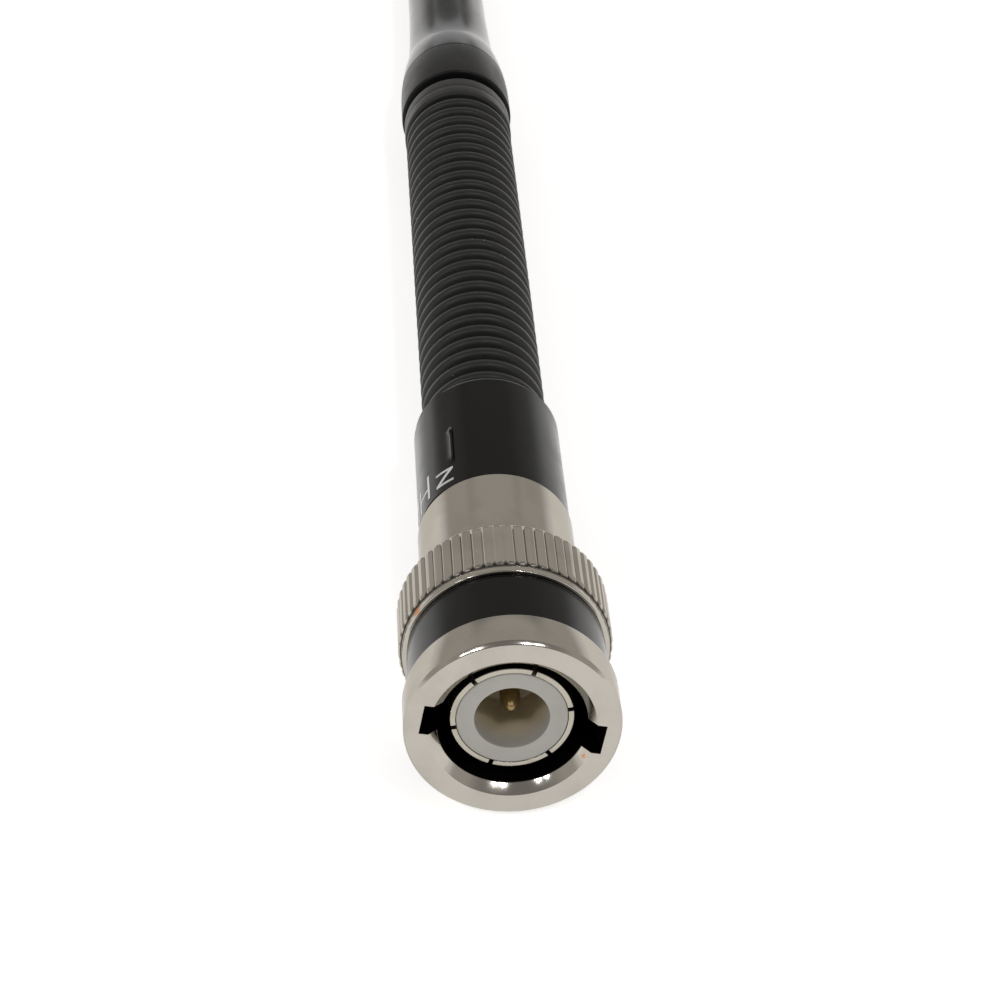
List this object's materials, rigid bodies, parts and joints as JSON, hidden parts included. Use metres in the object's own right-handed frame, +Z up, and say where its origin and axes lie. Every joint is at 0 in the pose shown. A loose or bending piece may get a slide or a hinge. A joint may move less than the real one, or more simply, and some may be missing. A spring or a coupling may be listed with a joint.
{
  "type": "flexible whip probe",
  "caption": "Flexible whip pick-up probe: knurled bayonet coaxial plug, labelled base sleeve, ribbed rubber neck over a steel coil, collar and long tapering whip.",
  "frame": {"origin": "on the probe's axis in the mating plane, at the front end of the plug's outer contact", "axes": "+Y along the probe from the plug to the tip of the whip, +Z up, +X to the right when looking along +Y"},
  "size_m": [0.0144, 0.2412, 0.0144],
  "materials": {
    "nickel": "bright nickel plate, lightly handled",
    "silver_plate": "satin silver-coloured plate",
    "gold_plate": "gold plate",
    "brass": "turned brass",
    "spring_steel": "spring steel",
    "band_plastic": "glossy black plastic",
    "label_film": "glossy black printed film",
    "housing_plastic": "black moulded plastic",
    "boot_rubber": "black rubber",
    "collar_plastic": "black moulded plastic",
    "whip_sheath": "satin black sheath",
    "ptfe": "white fluoropolymer",
    "silicone": "silicone rubber",
    "board": "glass-epoxy board",
    "copper": "bare copper",
    "ceramic": "ceramic chip",
    "wire_cover": "wire insulation",
    "bead_plastic": "natural nylon",
    "fibreglass": "fibreglass rod",
    "foam": "closed-cell foam"
  },
  "bodies": {
    "plug": {"contact_body": "silver_plate", "front_insulator": "ptfe", "rear_insulator": "ptfe", "centre_pin": "gold_plate", "face_gasket": "silicone", "wave_spring": "spring_steel", "rear_barrel": "nickel", "base_housing": "housing_plastic", "label_wrap": "label_film", "matching_board": "board", "lead_wire": "copper", "matching_coil": "copper", "matching_capacitor": "ceramic", "lower_spring_seat": "brass", "neck_spring": "spring_steel", "neck_boot": "boot_rubber", "feed_conductor": "copper", "feed_insulation": "wire_cover"},
    "washer": {"thrust_washer": "brass"},
    "nut": {"coupling_nut": "nickel", "cover_band": "band_plastic"},
    "neck_link_1": {"centring_bead_1": "bead_plastic"},
    "neck_link_2": {"centring_bead_2": "bead_plastic"},
    "neck_link_3": {"centring_bead_3": "bead_plastic"},
    "whip": {"upper_spring_seat": "brass", "upper_collar": "collar_plastic", "whip_shell": "whip_sheath", "whip_core": "fibreglass", "whip_winding": "copper", "whip_centring_rings": "foam", "tip_cap": "collar_plastic"}
  },
  "joints": [
    {"name": "spring_travel", "type": "slide", "parent": "plug", "child": "washer", "axis": [0, -1, 0], "range_m": [0, 0.001], "stiffness_N_per_m": 2500, "springref_m": -0.002, "deforming": ["wave_spring"]},
    {"name": "nut_turn", "type": "hinge", "parent": "washer", "child": "nut", "pos_m": [0, 0.005, 0], "axis": [0, 1, 0], "continuous": true},
    {"name": "neck_lower_nod", "type": "hinge", "parent": "plug", "child": "neck_link_1", "pos_m": [0, 0.04013, 0], "axis": [1, 0, 0], "range_deg": [-22.5, 22.5], "stiffness_Nm_per_rad": 0.9, "deforming": ["neck_boot", "neck_spring", "feed_conductor", "feed_insulation"]},
    {"name": "neck_lower_sway", "type": "hinge", "parent": "neck_link_1", "child": "neck_link_2", "pos_m": [0, 0.05198, 0], "axis": [0, 0, 1], "range_deg": [-22.5, 22.5], "stiffness_Nm_per_rad": 0.9, "deforming": ["neck_boot", "neck_spring", "feed_conductor", "feed_insulation"]},
    {"name": "neck_upper_nod", "type": "hinge", "parent": "neck_link_2", "child": "neck_link_3", "pos_m": [0, 0.06383, 0], "axis": [1, 0, 0], "range_deg": [-22.5, 22.5], "stiffness_Nm_per_rad": 0.9, "deforming": ["neck_boot", "neck_spring", "feed_conductor", "feed_insulation"]},
    {"name": "neck_upper_sway", "type": "hinge", "parent": "neck_link_3", "child": "whip", "pos_m": [0, 0.07568, 0], "axis": [0, 0, 1], "range_deg": [-22.5, 22.5], "stiffness_Nm_per_rad": 0.9, "deforming": ["neck_boot", "neck_spring", "feed_conductor", "feed_insulation"]}
  ],
  "couplings": [
    {"joint": "neck_upper_nod", "follows": "neck_lower_nod", "ratio": 1},
    {"joint": "neck_upper_sway", "follows": "neck_lower_sway", "ratio": 1}
  ]
}
